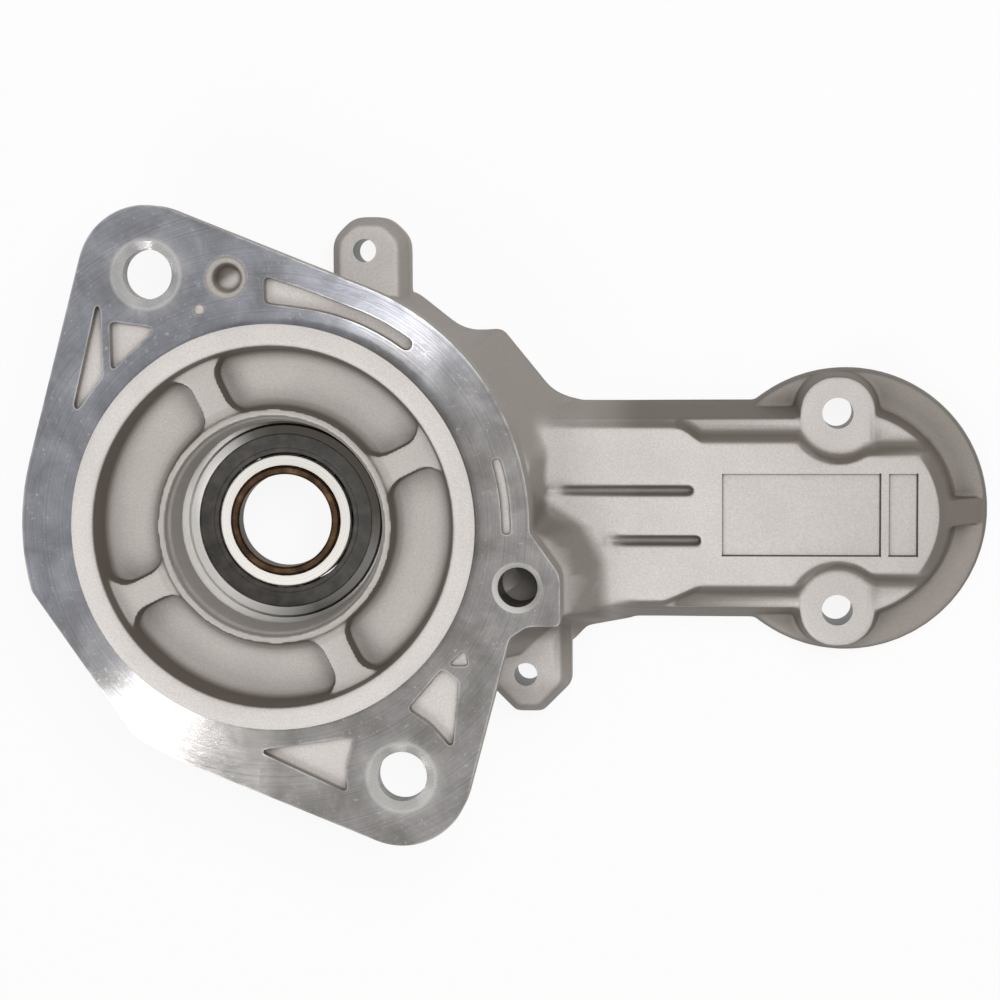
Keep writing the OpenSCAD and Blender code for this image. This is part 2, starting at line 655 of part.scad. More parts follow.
module bearing_inner_ring() {
  color(steel) translate([0, 0, ball_z]) rotate_extrude() difference() {
    half = bearing_w / 2;
    polygon([
      [inner_ring_r, -half + 0.3], [inner_ring_r + 0.3, -half], [inner_land_r - 0.3, -half],
      [inner_land_r, -half + 0.3], [inner_land_r, half - 0.3], [inner_land_r - 0.3, half],
      [inner_ring_r + 0.3, half], [inner_ring_r, half - 0.3]]);
    translate([pitch_r, 0]) circle(race_r);
  }
}

// Bronze bush pressed into the inner ring
module pinion_bush() {
  outer = inner_ring_r - press_gap;
  top_z = bearing_z + bush_proud;
  end_z = top_z - bush_l;
  color([0.60, 0.46, 0.27]) rotate_extrude() polygon([
    [bush_bore_r, end_z + 0.4], [bush_bore_r + 0.4, end_z], [outer - 0.3, end_z], [outer, end_z + 0.3],
    [outer, top_z - 0.3], [outer - 0.3, top_z], [bush_bore_r + 0.4, top_z], [bush_bore_r, top_z - 0.4]]);
}

// Rubber seal held in the outer ring's step; dir is 1 for the engine side
module seal(dir) {
  floor_z = bearing_w / 2 - seal_step;
  lip_r = inner_land_r + lip_gap;
  color([0.12, 0.12, 0.11]) translate([0, 0, ball_z]) mirror([0, 0, dir > 0 ? 0 : 1]) rotate_extrude()
    polygon(rounded([
      [lip_r, floor_z + 0.2, 0.2], [lip_r + 0.8, floor_z + 0.2, 0], [lip_r + 1, floor_z, 0],
      [seal_seat_r - press_gap, floor_z, 0], [seal_seat_r - press_gap, floor_z + seal_t, 0.3],
      [lip_r + 1.2, floor_z + seal_t, 0.3], [lip_r + 0.9, floor_z + seal_t - 0.3, 0], [lip_r, floor_z + seal_t - 0.3, 0.2]], 4));
}

// Half of the riveted strip cage, cupped over each ball; dir is 1 for the engine side
module cage_half_strip(dir) {
  color([0.72, 0.66, 0.5]) translate([0, 0, ball_z]) mirror([0, 0, dir > 0 ? 0 : 1]) difference() {
    intersection() {
      union() {
        cylinder(h = cage_t, r = pitch_r + cage_half);
        for (i = [1:ball_count]) rotate(360 * i / ball_count) translate([pitch_r, 0, 0])
          sphere(ball_r + pocket_gap + cage_t);
      }
      difference() {
        cylinder(h = ball_r + pocket_gap + cage_t, r = pitch_r + cage_half);
        translate([0, 0, -over]) cylinder(h = 3 * ball_r, r = pitch_r - cage_half);
      }
    }
    for (i = [1:ball_count]) rotate(360 * i / ball_count) translate([pitch_r, 0, 0]) {
      sphere(ball_r + pocket_gap);
    }
    for (i = [1:ball_count]) rotate(360 * (i + 0.5) / ball_count) translate([pitch_r, 0, -over])
      cylinder(h = cage_t + 2 * over, r = rivet_r + press_gap);
  }
}

// Rivets that join the two cage halves between the balls
module cage_rivets() {
  head_t = 0.35;
  color(steel) for (i = [1:ball_count]) rotate(360 * (i + 0.5) / ball_count) translate([pitch_r, 0, ball_z])
    rotate_extrude() polygon([
      [0, -cage_t - head_t], [rivet_r + 0.2, -cage_t - head_t], [rivet_r + 0.35, -cage_t], [rivet_r, -cage_t],
      [rivet_r, cage_t], [rivet_r + 0.35, cage_t], [rivet_r + 0.2, cage_t + head_t], [0, cage_t + head_t]]);
}

module ball(i) {
  color([0.9, 0.9, 0.92]) rotate(360 * i / ball_count) translate([pitch_r, 0, ball_z]) sphere(ball_r);
}

housing();
bearing_outer_ring();
bearing_inner_ring();
pinion_bush();
seal(1);  // front_seal
seal(-1);  // rear_seal
cage_half_strip(1);  // cage_front
cage_half_strip(-1);  // cage_rear
cage_rivets();
for (i = [1:ball_count]) ball(i);
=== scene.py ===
"""Starter pinion cover: a die-cast housing with turned faces, its sealed bearing and the pinion bush."""
import math
from functools import partial

import bmesh
import bpy
import numpy as np
from mathutils import Matrix, Vector


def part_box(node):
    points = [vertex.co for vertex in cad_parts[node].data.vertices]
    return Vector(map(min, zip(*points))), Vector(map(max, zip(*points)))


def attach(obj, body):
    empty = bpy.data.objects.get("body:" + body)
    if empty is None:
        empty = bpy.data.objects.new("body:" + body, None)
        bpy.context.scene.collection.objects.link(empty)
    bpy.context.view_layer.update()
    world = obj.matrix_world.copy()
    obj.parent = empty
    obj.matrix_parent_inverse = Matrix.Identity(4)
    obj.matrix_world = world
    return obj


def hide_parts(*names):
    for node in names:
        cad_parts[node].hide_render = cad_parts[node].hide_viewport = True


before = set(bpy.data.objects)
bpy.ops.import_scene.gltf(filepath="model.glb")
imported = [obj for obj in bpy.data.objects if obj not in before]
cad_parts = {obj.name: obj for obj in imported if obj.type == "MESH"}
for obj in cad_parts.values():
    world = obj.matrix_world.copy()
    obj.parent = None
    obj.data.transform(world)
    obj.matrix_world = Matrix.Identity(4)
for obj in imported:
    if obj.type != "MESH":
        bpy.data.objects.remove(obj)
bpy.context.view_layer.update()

MM = 0.001

# Sizes are in millimetres, places in plan are from the pinion axis and heights from the flange face

# Heights of the mouth of the bore, the arm face, the solenoid lugs, the ears and the back rim
MOUTH_Z, FACE_Z, PAD_Z, EAR_Z, BACK_Z = -11.5, -18.0, -20.8, -22.0, -36.0

# Radii of the pilot ring, of the bore at its mouth and of the bearing seat
PILOT_R, MOUTH_R, SEAT_R = 42.5, 22.0, 21.01

# Holes and the cast cup beside the upper bolt hole
BOLT_PLACES = [(-26.49, 52.91), (26.49, -52.91)]
DOWEL_PLACE = (51.1, -12.7)
EAR_PLACES = [(16.81, 57.80), (51.19, -33.90)]
LUG_PLACES = [(118.2, 22.7), (118.2, -19.5)]
BOLT_R, DOWEL_R, EAR_HOLE_R, LUG_HOLE_R = 5.25, 4.2, 2.5, 3.3
CUP_PLACE = (-9.6, 52.1)

# The arm: its middle line, its two bare panels from end to end, half their width, and its two grooves
ARM_Y = 1.2
PANELS = [(93.6, 127.2), (128.9, 135.0)]
PANEL_HALF = 8.75
GROOVES = [[(60, 6.3), (86.6, 6.3)], [(71, -4.6), (88, -4.6)]]

# The valley at the foot of the arm's upper slope, which the lower one mirrors, and the line where the arm leaves
# the drum
VALLEY = [(84.6, 20.6), (89, 18), (110.4, 18), (112, 16.9), (114.6, 14.5), (118.2, 13), (121.8, 13.3),
          (125, 14.8), (127, 15.6), (137, 15.6)]
ROOT_LINE = [(50, 26), (57, 17), (56, 12), (56, 2.5), (63.6, -0.7), (67.5, -5.5), (70, -10), (70.3, -18)]

# Stock left for the tools on the flange, the back rim and the pilot ring
FACE_STOCK, BACK_STOCK, RIM_STOCK = 1.5, 1.0, 0.9

SKIN, QUICK_SKIN = 0.45, 0.8
TRIANGLES = 165000

# How near a point or a face centre lies to a plane that it is on
TOUCH, NEAR = 0.01, 0.02

# The surfaces of the casting, by their material slot
CAST, FACED, DRILLED, BORED = range(4)
CREASE = math.radians(34)

# Camera: its eye, the point it looks at, its lens and its slight roll
EYE, AIM = (0.0968, 0.0519, 0.600), (0.0476, 0.0057, 0.0)
LENS, SENSOR, ROLL = 104.4, 36, -0.005


def linear(code):
    """sRGB hex colour as linear RGBA: c / 12.92 below 0.04045, else ((c + 0.055) / 1.055) ** 2.4."""
    c = np.array([int(code[i:i + 2], 16) for i in (1, 3, 5)]) / 255
    c = np.where(c <= 0.04045, c / 12.92, ((c + 0.055) / 1.055) ** 2.4)
    return (*(float(v) for v in c), 1.0)


def grey(v):
    """Grey of that linear value as a colour."""
    return (v, v, v, 1.0)


def add_node(tree, kind, inputs=(), stops=(), **settings):
    """Adds one shader node: settings are its attributes, stops its ramp, and inputs what it is given in order, or by
    place or name. An input is a number, a colour, an output, or a node, which feeds by its first live output."""
    node = tree.nodes.new("ShaderNode" + kind)
    for key, value in settings.items():
        setattr(node, key, value)
    for key, value in inputs.items() if isinstance(inputs, dict) else enumerate(inputs):
        if isinstance(value, bpy.types.Node):
            value = next(output for output in value.outputs if output.enabled)
        if isinstance(value, bpy.types.NodeSocket):
            tree.links.new(value, node.inputs[key])
        else:
            node.inputs[key].default_value = value
    if stops:
        elements = node.color_ramp.elements
        while len(elements) < len(stops):
            elements.new(0.5)
        for element, (position, colour) in zip(elements, stops):
            element.position = position
            element.color = linear(colour) if isinstance(colour, str) else colour
    return node


def surface(name):
    """A new material with an empty tree; returns it with the function that adds nodes to its tree."""
    material = bpy.data.materials.new(name)
    material.use_nodes = True
    material.node_tree.nodes.clear()
    return material, partial(add_node, material.node_tree)


# Forms

def piece(name, points, faces, material=None):
    """Mesh object from an array of points and a list of faces."""
    mesh = bpy.data.meshes.new(name)
    mesh.from_pydata(points.tolist(), [], faces)
    mesh.update()
    obj = bpy.data.objects.new(name, mesh)
    bpy.context.scene.collection.objects.link(obj)
    if material:
        mesh.materials.append(material)
    return obj


def turned(name, profile, axis=(0, 0), steps=96, ring=False):
    """Closed turned form about a vertical axis: profile point (r, z) goes to (x0 + r cos t, y0 + r sin t, z).
    A ring profile is a closed loop off the axis, any other starts and ends on the axis. All in millimetres."""
    p = np.array(profile, float)
    t = np.arange(steps) * 2 * math.pi / steps
    pts = np.stack([axis[0] + p[:, :1] * np.cos(t), axis[1] + p[:, :1] * np.sin(t), p[:, 1:] + 0 * t], 2)
    k = len(p)
    i, j = np.meshgrid(np.arange(k if ring else k - 1), np.arange(steps), indexing="ij")
    a, b = i * steps + j, i * steps + (j + 1) % steps
    c, d = (i + 1) % k * steps + (j + 1) % steps, (i + 1) % k * steps + j
    quads = np.stack([a, b, c, d], 2).reshape(-1, 4).tolist()
    obj = piece(name, pts.reshape(-1, 3) * MM, quads)
    close(obj)
    return obj


def rod(name, radius, low, high, axis=(0, 0), steps=96):
    """Upright round tool or plug between two heights: the turned form of a rectangle on the axis."""
    return turned(name, [(0, low), (radius, low), (radius, high), (0, high)], axis, steps)


def block(name, low, high):
    """Box between two corners in millimetres: the grid of their three pairs of coordinates."""
    z, y, x = np.meshgrid(*[np.array([low[k], high[k]], float) for k in (2, 1, 0)], indexing="ij")
    faces = [(0, 2, 3, 1), (4, 5, 7, 6), (0, 1, 5, 4), (2, 6, 7, 3), (0, 4, 6, 2), (1, 3, 7, 5)]
    return piece(name, np.stack([x, y, z], -1).reshape(-1, 3) * MM, faces)


def close(obj):
    """Merges coincident points, drops what collapsed and turns all faces outwards."""
    bm = bmesh.new()
    bm.from_mesh(obj.data)
    bmesh.ops.remove_doubles(bm, verts=bm.verts, dist=1e-6)
    bmesh.ops.dissolve_degenerate(bm, edges=bm.edges, dist=1e-7)
    bmesh.ops.recalc_face_normals(bm, faces=bm.faces)
    bm.to_mesh(obj.data)
    bm.free()


def joined(objs, name):
    """One object from several, whose meshes are taken over."""
    bm = bmesh.new()
    for obj in objs:
        bm.from_mesh(obj.data)
        bpy.data.objects.remove(obj)
    mesh = bpy.data.meshes.new(name)
    bm.to_mesh(mesh)
    bm.free()
    out = bpy.data.objects.new(name, mesh)
    bpy.context.scene.collection.objects.link(out)
    return out


def settle(obj):
    """Applies the modifiers of obj to its mesh."""
    graph = bpy.context.evaluated_depsgraph_get()
    graph.update()
    mesh = bpy.data.meshes.new_from_object(obj.evaluated_get(graph))
    obj.modifiers.clear()
    old = obj.data
    obj.data = mesh
    bpy.data.meshes.remove(old)


def positions(mesh):
    """Vertex positions of a mesh in millimetres, as an array."""
    co = np.empty(len(mesh.vertices) * 3, np.float32)
    mesh.vertices.foreach_get("co", co)
    return co.reshape(-1, 3).astype(float) / MM


def place(mesh, co):
    """Writes vertex positions given in millimetres back to a mesh."""
    mesh.vertices.foreach_set("co", (co * MM).astype(np.float32).ravel())
    mesh.update()


def smooth(mesh, rounds, weight):
    """Rounds corners as a mould does: each point moves half way to the mean of its neighbours, times its weight."""
    co = positions(mesh)
    edges = np.empty(len(mesh.edges) * 2, np.int32)
    mesh.edges.foreach_get("vertices", edges)
    start, end = edges[0::2], edges[1::2]
    w = 0.5 * weight(co)
    near = w > 0
    near[start] |= w[end] > 0
    near[end] |= w[start] > 0
    slot = np.cumsum(near) - 1
    pick = near[start] & near[end]
    start, end = slot[start[pick]], slot[end[pick]]
    both, other = np.concatenate([start, end]), np.concatenate([end, start])
    part, w = co[near], w[near, None]
    count = np.maximum(np.bincount(both, minlength=len(part)), 1)[:, None]
    for _ in range(rounds):
        mean = np.stack([np.bincount(both, part[other, k], len(part)) for k in range(3)], 1) / count
        part += w * (mean - part)
    co[near] = part
    place(mesh, co)


def fade(v, start, span):
    """0 up to start and 1 from start + span on, straight between; a negative span rises downwards."""
    return np.clip((v - start) / span, 0, 1)


def apart(p, at):
    """Distance in plan of points p from a place."""
    return np.hypot(p[:, 0] - at[0], p[:, 1] - at[1])


def beside(p, line):
    """Distance in plan of points p from a chain of corners: least over its runs of |p - a - t (b - a)|."""
    least = np.full(len(p), 1e3)
    for a, b in zip(np.array(line[:-1], float), np.array(line[1:], float)):
        t = np.clip((p[:, :2] - a) @ (b - a) / ((b - a) @ (b - a)), 0, 1)
        least = np.minimum(least, np.hypot(*(p[:, :2] - a - t[:, None] * (b - a)).T))
    return least


def cut(obj, *cutters):
    """Takes closed cutters that don't touch each other away from obj."""
    mod = obj.modifiers.new("Cut", "BOOLEAN")
    tool = joined(cutters, "cutters") if len(cutters) > 1 else cutters[0]
    mod.operation, mod.solver, mod.object = "DIFFERENCE", "MANIFOLD", tool
    settle(obj)
    bpy.data.objects.remove(tool)


# The casting

def blank_casting():
    """The housing before its tools: its plain form with stock on the faces and its holes filled, as one skin."""
    blank = bpy.data.objects.new("blank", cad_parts["housing"].data.copy())
    bpy.context.scene.collection.objects.link(blank)
    blank.data.materials.clear()
    close(blank)
    co = positions(blank.data)
    r = np.hypot(co[:, 0], co[:, 1])
    co[(abs(co[:, 2]) < TOUCH) & (r > PILOT_R - 0.1), 2] += FACE_STOCK
    co[co[:, 2] < BACK_Z + TOUCH, 2] -= BACK_STOCK
    rim = (abs(r - PILOT_R) < 0.06) & (co[:, 2] > TOUCH)
    co[rim, :2] *= 1 + RIM_STOCK / PILOT_R
    place(blank.data, co)
    # Each plug is wider than its hole and ends at the face round it
    plugs = [rod("plug", 7.4, -6.5, FACE_STOCK, p, 48) for p in BOLT_PLACES]
    plugs.append(rod("plug", 6, -17, FACE_STOCK, DOWEL_PLACE, 48))
    plugs += [rod("plug", 3.4, -34, EAR_Z, p, 40) for p in EAR_PLACES]
    plugs += [rod("plug", 4.3, -33.5, PAD_Z, p, 40) for p in LUG_PLACES]
    plugs.append(block("plug", (92.5, -8.3, FACE_Z - 1.5), (136, 10.7, FACE_Z)))
    cover = joined([blank, *plugs], "housing_cast")
    mod = cover.modifiers.new("Skin", "REMESH")
    mod.mode, mod.voxel_size = "VOXEL", SKIN * MM
    settle(cover)
    return cover


def every_corner(p):
    """Share of rounding at points p: every corner of the mould is broken, those round the arm's root the most."""
    x, z = p[:, 0], p[:, 2]
    return 0.62 + 0.38 * (fade(x, 40, 5) * fade(x, 70, -4) * fade(z, -9, -2))


def root_hollow(p):
    """1 in the hollow where the arm leaves the drum, fading over 3 mm to each side."""
    return fade(beside(p, ROOT_LINE), 5.2, -3) * (fade(p[:, 2], -9.5, -2) * fade(p[:, 2], -32, 2))


def web_corners(p):
    """0.8 on the web's spokes, pockets and rim inside the pilot ring."""
    r = np.hypot(p[:, 0], p[:, 1])
    return 0.8 * fade(r, 25, 0.8) * fade(r, 37.4, -0.8) * fade(p[:, 2], -1.5, -1)


def mould(cover):
    """Rounds the corners of the skin as the mould does, and thins it to the triangles that it needs."""
    for rounds, weight in ((8, every_corner), (60, root_hollow), (14, web_corners)):
        smooth(cover.data, rounds, weight)
    mod = cover.modifiers.new("Fewer", "DECIMATE")
    mod.ratio = min(1.0, TRIANGLES / (len(cover.data.polygons) * 2))
    settle(cover)


def machine(cover):
    """Faces both sides, drills and bores the casting, and sinks the two bare panels of its arm."""
    cut(cover, turned("cutter", [(PILOT_R, 0), (110, 0), (110, 9), (PILOT_R, 9)], steps=288, ring=True))
    cut(cover, block("cutter", (-80, -90, BACK_Z - 9), (170, 90, BACK_Z)))
    # The bolt holes and the dowel hole have a lead, and the dowel hole ends in the cone of its drill
    bolt = [(0, -12), (BOLT_R, -12), (BOLT_R, -1.3), (7.67, 0.5), (0, 0.5)]
    dowel = [(0, -15.2), (0.5, -15.2), (DOWEL_R, -14), (DOWEL_R, -1.1), (5.8, 0.5), (0, 0.5)]
    tools = [turned("cutter", bolt, p) for p in BOLT_PLACES]
    tools.append(turned("cutter", dowel, DOWEL_PLACE))
    tools += [rod("cutter", EAR_HOLE_R, -40, -20, p, 64) for p in EAR_PLACES]
    tools += [rod("cutter", LUG_HOLE_R, -40, -19, p, 64) for p in LUG_PLACES]
    tools.append(rod("cutter", SEAT_R, -28, -15.4, steps=144))
    seat_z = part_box("bearing_outer_ring")[1][2] / MM
    mouth = turned("cutter", [(0, seat_z), (MOUTH_R, seat_z), (MOUTH_R + 0.25, MOUTH_Z), (0, MOUTH_Z)], steps=144)
    low_y, high_y, top = ARM_Y - PANEL_HALF, ARM_Y + PANEL_HALF, FACE_Z + 1
    tools += [block("cutter", (x0, low_y, FACE_Z - 0.5), (x1, high_y, top)) for x0, x1 in PANELS]
    cut(cover, *tools)
    cut(cover, mouth)
    # A sharper line of the mould insert shows on the end and on the lower side of each panel
    cut(cover, *[block("cutter", (x1 - 0.3, low_y - 0.2, FACE_Z - 0.85), (x1 + 0.1, high_y + 0.1, top))
                 for _, x1 in PANELS])
    cut(cover, *[block("cutter", (x0 - 0.1, low_y - 0.15, FACE_Z - 0.75), (x1 - 0.4, low_y + 0.15, top))
                 for x0, x1 in PANELS])


def painted_shade_share(p):
    """Share of painted shade at points p: full along a line and fading to nothing over about 1.5 mm to each side."""
    x, y, z = p.T
    # Painted shade in the valleys beside the lugs, not on their pads, and in the grooves of the arm
    low = fade(z, -18.1, -0.3)
    for lug in LUG_PLACES:
        low *= fade(apart(p, lug), 8, 0.8)
    share = np.zeros(len(p))
    for side in (1, -1):
        line = [(along, ARM_Y + side * (across - ARM_Y)) for along, across in VALLEY]
        share = np.maximum(share, 0.85 * fade(beside(p, line), 2.3, -1.4) * low)
    for line in GROOVES:
        share = np.maximum(share, 0.6 * fade(beside(p, line), 1.3, -0.6))
    # Painted shade in the hollow at the foot of the arm
    edge = np.interp(y, [-21, -8.9, -1.2, 5.3], [70, 69.8, 65.9, 56])
    root = fade(x - edge, 0, -3) * fade(y, -27, 3) * fade(y, 9, -4)
    share = np.maximum(share, 0.7 * root * (np.hypot(x, y) > 50) * fade(z, -9.5, -2))
    # Painted shade on the lower half of the second ear
    ear = fade(apart(p, EAR_PLACES[1]), 9, -1) * fade(y, EAR_PLACES[1][1], -3)
    share = np.maximum(share, 0.35 * ear * (z < EAR_Z + 1))
    # Painted shade on the upper left half of the cup
    half = fade((p[:, :2] - CUP_PLACE) @ (-0.5, 0.87), -0.6, 1.5) * fade(apart(p, CUP_PLACE), 3.3, -0.8)
    return np.maximum(share, 0.9 * half * (z < -0.4) * (z > -8))


def paint_casting(cover, *finishes):
    """Gives each face of the casting its surface by place and direction, and its points their share of painted
    shade.
    """
    mesh = cover.data
    mesh.materials.clear()
    for material in finishes:
        mesh.materials.append(material)
    n = len(mesh.polygons)
    centre, normal = np.empty(n * 3, np.float32), np.empty(n * 3, np.float32)
    mesh.polygons.foreach_get("center", centre)
    mesh.polygons.foreach_get("normal", normal)
    centre, up = centre.reshape(-1, 3) / MM, normal[2::3]
    r, z = np.hypot(centre[:, 0], centre[:, 1]), centre[:, 2]
    index = np.full(n, CAST, np.int32)
    index[(abs(z) < NEAR) & (up > 0.99) & (r > PILOT_R - 0.1)] = FACED
    index[(abs(z - BACK_Z) < NEAR) & (up < -0.99)] = FACED
    # Walls of the holes, found a little beyond their leads; the leads of the bolt holes were faced
    for places, reach in ((BOLT_PLACES, 7.1), ([DOWEL_PLACE], 5.5), (EAR_PLACES, 2.6), (LUG_PLACES, 3.4)):
        for at in places:
            index[(apart(centre, at) < reach) & (abs(up) < 0.9)] = DRILLED
    for at in BOLT_PLACES:
        index[(apart(centre, at) < 7.8) & (up > 0.3)] = FACED
    index[(r < MOUTH_R + 0.3) & (z < MOUTH_Z + 0.1) & (z > -30)] = BORED
    mesh.polygons.foreach_set("material_index", index)
    mesh.polygons.foreach_set("use_smooth", np.ones(n, bool))
    mesh.set_sharp_from_angle(angle=CREASE)
    store = mesh.attributes.new("painted_shade_share", "FLOAT", "POINT")
    store.data.foreach_set("value", painted_shade_share(positions(mesh)).astype(np.float32))
    mesh.update()


# Materials

def share_of(add, *parts):
    """Product of several shares. A part is a share, or a span that gives one: a value, where it starts and ends, and
    the shares there, which are 0 and 1 unless given."""
    first, *others = [add("MapRange", part, clamp=True) if isinstance(part, tuple) else part for part in parts]
    for other in others:
        first = add("Math", [first, other], operation="MULTIPLY")
    return first


def most_of(add, first, *others):
    """The largest of several shares."""
    for other in others:
        first = add("Math", [first, other], operation="MAXIMUM")
    return first


def tinted(add, base, *tints):
    """Colour base with each of the tints multiplied in."""
    for tint in tints:
        base = add("Mix", {0: 1.0, 6: base, 7: tint}, data_type="RGBA", blend_type="MULTIPLY")
    return base


def coated(add, base, *coats):
    """Colour base with each of the coats over it, a coat being its share and its colour."""
    for share, colour in coats:
        base = add("Mix", {0: share, 6: base, 7: linear(colour)}, data_type="RGBA")
    return base


def corner_wear_and_highlight(add, reach):
    """1 on an outer corner and 0 away from it, by how many rays sent into the metal come out within reach."""
    inner = add("AmbientOcclusion", {"Distance": reach * MM}, samples=4, inside=True)
    return share_of(add, (inner.outputs["AO"], 0.93, 0.6))


def about_axis(add):
    """Object position, its radius from the pinion axis, and the outward direction there."""
    at = add("TexCoord").outputs["Object"]
    flat = add("VectorMath", [at, (1, 1, 0)], operation="MULTIPLY")
    return at, add("VectorMath", [flat], operation="LENGTH"), add("VectorMath", [flat], operation="NORMALIZE")


def shot_blasted_casting():
    """Die-cast aluminium, shot blasted: a light warm grey matt metal with a fine grit, with painted shade where
    walls stand, in its valleys and in tight corners.
    """
    material, add = surface("shot_blasted_die_cast_aluminium")
    at, radius, _ = about_axis(add)
    spot, tilt = add("SeparateXYZ", [at]), add("SeparateXYZ", [add("NewGeometry").outputs["Normal"]])
    x, z, up = spot.outputs["X"], spot.outputs["Z"], tilt.outputs["Z"]
    # Shot marks about 0.4 mm across
    grit = add("TexNoise", {"Vector": at, "Scale": 2400, "Detail": 3, "Roughness": 0.6})
    tone = add("ValToRGB", [grit], [(0.3, "#cac5c1"), (0.5, "#d4cfcb"), (0.72, "#dedad7")])
    # Flow marks of the metal, 15 to 20 mm across
    cloud = add("TexNoise", {"Vector": at, "Scale": 60, "Detail": 4, "Roughness": 0.55})
    drift = add("ValToRGB", [cloud], [(0.35, grey(0.92)), (0.65, grey(1.0))])
    # Painted brown grey shade, first on the steep drafted walls outside and on the arm
    steep = share_of(add, (up, 0.86, 0.35, 0.0, 0.93), (up, -0.4, -0.1, 0.3, 1.0),
                     (radius, 23.2 * MM, 24.4 * MM, 0.45, 1.0))
    outside = most_of(add, share_of(add, (radius, 50 * MM, 42 * MM, 0.75, 1.0)),
                      share_of(add, (x, 64 * MM, 74 * MM, 0.75, 1.0)))
    outer_wall_shade = share_of(add, steep, outside)
    # Then painted shade on the arm's far end, on the faces turned away from the lamp at the lower left, in the
    # recess of the web and round the boss; the colour also darkens towards the low back edge and along the arm
    # towards its end
    far_end_shade = share_of(add, (tilt.outputs["X"], 0.3, 0.65, 0.0, 0.9), (x, 130 * MM, 138 * MM))
    low_edge = share_of(add, (z, -19 * MM, -31 * MM, 0.0, 0.7), (x, 66 * MM, 76 * MM))
    recess_shade = share_of(add, (radius, 38.2 * MM, 37.4 * MM, 0.0, 0.27))
    boss_shade = share_of(add, (radius, 28 * MM, 26.5 * MM, 0.0, 0.42), (radius, 22.8 * MM, 24 * MM, 0.5, 1.0))
    along = share_of(add, (x, 90 * MM, 140 * MM, 0.0, 0.22))
    painted_shade = most_of(add, outer_wall_shade, far_end_shade, low_edge, recess_shade, boss_shade, along)
    # Darker painted shade in the valleys of the arm and of the web, up to 7 mm wide, on their walls, and where the
    # points carry their share of painted shade
    valley = add("AmbientOcclusion", {"Distance": 7 * MM}, samples=6).outputs["AO"]
    arm = share_of(add, (x, 70 * MM, 76 * MM))
    web = share_of(add, (radius, 42 * MM, 41 * MM), (radius, 22.5 * MM, 24.5 * MM))
    pocket = share_of(add, web, (z, -2 * MM, -4 * MM, 0.4, 0.85))
    valley_shade = share_of(add, (valley, 0.8, 0.4, 0.0, 0.95), most_of(add, pocket, arm))
    web_arm_wall_shade = share_of(add, most_of(add, web, arm), share_of(add, steep, 0.75))
    painted = add("Attribute", attribute_name="painted_shade_share").outputs["Fac"]
    base = coated(add, tinted(add, tone, drift), (painted_shade, "#756c63"), (most_of(add, valley_shade, web_arm_wall_shade, painted), "#5f574e"))
    # Painted shade in the tight corners
    hollow = add("AmbientOcclusion", {"Distance": 2 * MM}, samples=6).outputs["AO"]
    base = tinted(add, base, share_of(add, (hollow, 0.3, 0.9, 0.5, 1.0)))
    # The grit scatters nearly all of the metal's own reflection, so it counts as metal only in part
    bump = add("Bump", {"Strength": 0.2, "Distance": 0.08 * MM, "Height": grit})
    shader = add("BsdfPrincipled", {"Base Color": base, "Metallic": 0.15, "Roughness": 0.62, "Normal": bump})
    add("OutputMaterial", {"Surface": shader})
    return material


def turned_face():
    """Aluminium faced on a lathe: fine rings about the pinion axis, so its gloss spreads along the radius."""
    material, add = surface("turned_aluminium_face")
    at, radius, out = about_axis(add)
    # Wash marks of the coolant 10 to 20 mm across, with finer mottling in them
    stain = add("TexNoise", {"Vector": at, "Scale": 110, "Detail": 6, "Roughness": 0.6, "Distortion": 0.4})
    tone = add("ValToRGB", [stain], [(0.32, "#81807e"), (0.47, "#908f8f"), (0.6, "#9d9c9c"), (0.75, "#acabab")])
    # Painted reflection: a cool blue tint on the side away from the arm and a warm one on the rest
    side = add("VectorMath", [at, (-11, 13, 0)], operation="DOT_PRODUCT")
    patch = add("TexNoise", {"Vector": at, "Scale": 45, "Detail": 2})
    reflection_tint = add("ValToRGB", [add("Math", [side, patch], operation="ADD")], [(0.2, "#fffcf9"), (0.8, "#f2f5ff")])
    # Tool marks 0.4 mm apart, some of them deeper
    rings = add("TexNoise", {"W": radius, "Scale": 2500, "Detail": 3}, noise_dimensions="1D")
    groove = add("ValToRGB", [rings], [(0.3, grey(0.84)), (0.6, grey(1.0))])
    base = tinted(add, tone, reflection_tint, groove)
    # Washers rubbed a paler ring round each bolt hole, and a painted highlight brightens its lead
    for x, y in BOLT_PLACES:
        gap = add("VectorMath", [at, (x * MM, y * MM, 0)], operation="DISTANCE")
        halo = share_of(add, (gap, 10 * MM, 7 * MM), (stain, 0.35, 0.65, 0.1, 0.6))
        lead = share_of(add, (gap, 7.9 * MM, 7.3 * MM, 0.0, 0.4))
        base = coated(add, base, (halo, "#b9b7b4"), (lead, "#d4d2cf"))
    # Burrs rubbed bright with a painted highlight along parts of the corners, and handling specks about 0.4 mm
    # across
    burr_highlight = share_of(add, corner_wear_and_highlight(add, 0.4), (stain, 0.4, 0.6, 0.15, 0.8))
    speck = add("TexNoise", {"Vector": at, "Scale": 1300, "Detail": 2, "Distortion": 1.0})
    rubbed_and_highlight = most_of(add, burr_highlight, share_of(add, (speck, 0.64, 0.76, 0.0, 0.35)))
    base = coated(add, base, (rubbed_and_highlight, "#d8d6d3"))
    bump = add("Bump", {"Strength": 0.5, "Distance": 0.06 * MM, "Height": rings})
    shader = add("BsdfPrincipled", {"Base Color": base, "Metallic": 1.0, "Roughness": 0.27, "Anisotropic": 1.0,
                                    "Normal": bump, "Tangent": out})
    add("OutputMaterial", {"Surface": shader})
    return material


